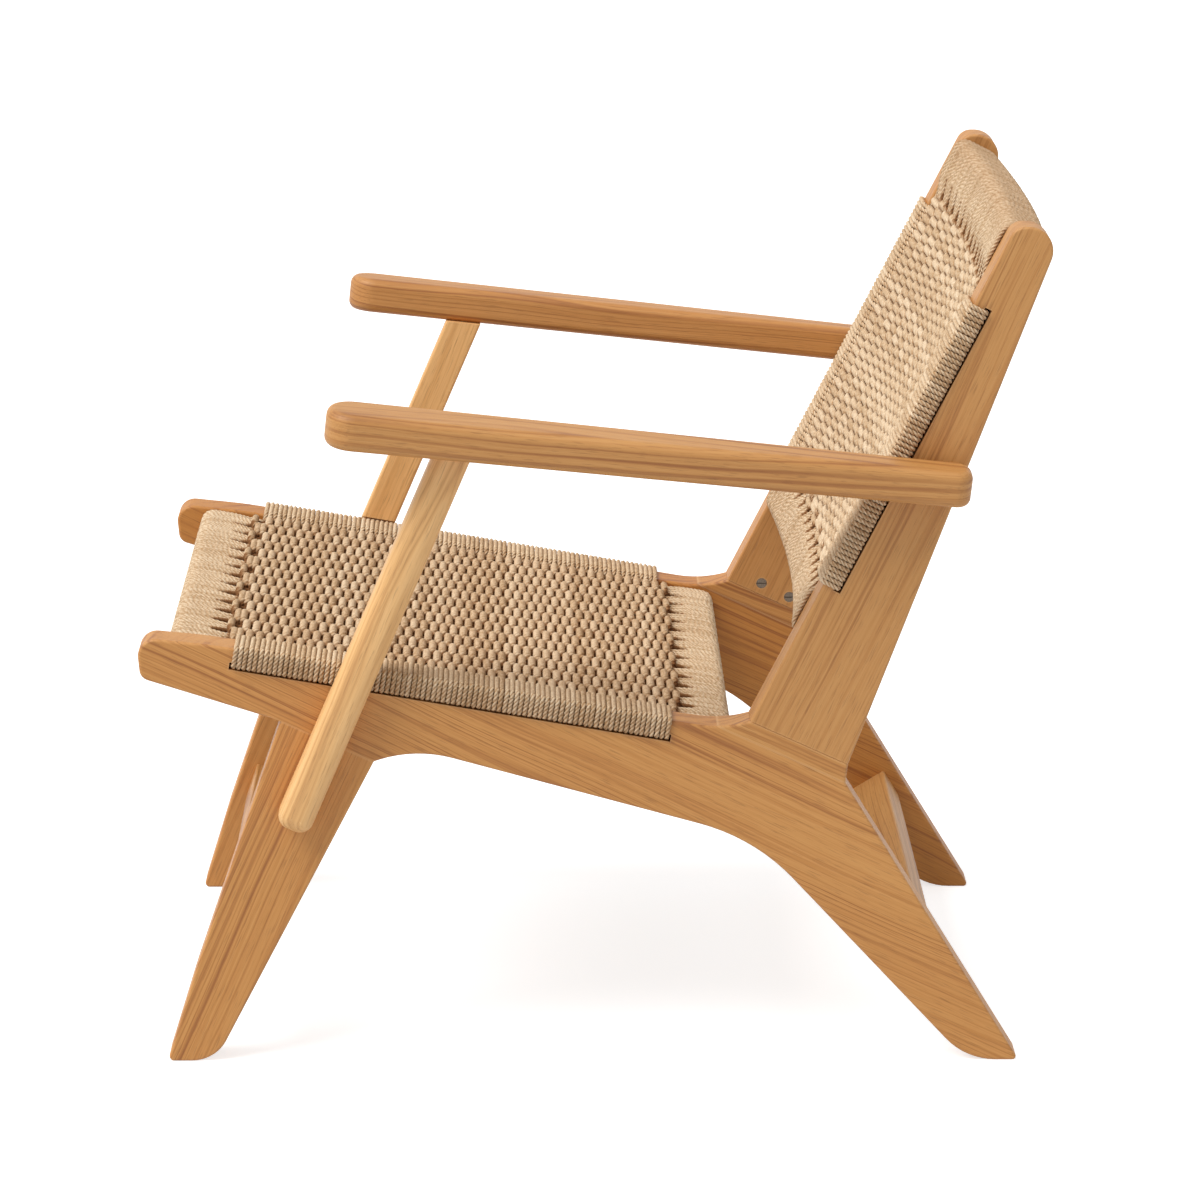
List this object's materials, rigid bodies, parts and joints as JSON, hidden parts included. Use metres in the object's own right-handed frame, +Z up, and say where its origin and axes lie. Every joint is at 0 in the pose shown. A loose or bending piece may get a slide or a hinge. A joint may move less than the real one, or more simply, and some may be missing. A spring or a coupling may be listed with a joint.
{
  "type": "lounge armchair",
  "caption": "Low wooden lounge armchair with plank side frames, slanted arm supports and a seat and back of woven cord.",
  "frame": {"origin": "on the floor at the middle of the chair", "axes": "+Z up, -Y towards the front of the seat, +X towards the sitter's left"},
  "size_m": [0.6906, 0.7874, 0.738],
  "materials": {
    "oiled_wood": "oiled, honey brown",
    "dowel_wood": "plain",
    "paper_cord": "twisted cord, matt",
    "steel": "darkened"
  },
  "bodies": {
    "root": {"left_side_rail": "oiled_wood", "right_side_rail": "oiled_wood", "left_post_block": "oiled_wood", "right_post_block": "oiled_wood", "left_front_leg": "oiled_wood", "right_front_leg": "oiled_wood", "left_back_post": "oiled_wood", "right_back_post": "oiled_wood", "left_armrest": "oiled_wood", "right_armrest": "oiled_wood", "left_arm_support": "oiled_wood", "right_arm_support": "oiled_wood", "seat_front_crossbar": "oiled_wood", "seat_rear_crossbar": "oiled_wood", "back_bottom_crossbar": "oiled_wood", "back_top_crossbar": "oiled_wood", "front_stretcher": "oiled_wood", "rear_stretcher": "oiled_wood", "seat_warp_cord": "paper_cord", "seat_weft_cord": "paper_cord", "back_warp_cord": "paper_cord", "back_weft_cord": "paper_cord", "front_leg_dowels": "dowel_wood", "crossbar_dowels": "dowel_wood", "stretcher_dowels": "dowel_wood", "arm_dowels": "dowel_wood", "arm_spacers": "oiled_wood", "post_bolts": "steel", "post_nuts": "steel", "support_screws": "steel", "armrest_screws": "steel"}
  },
  "joints": []
}
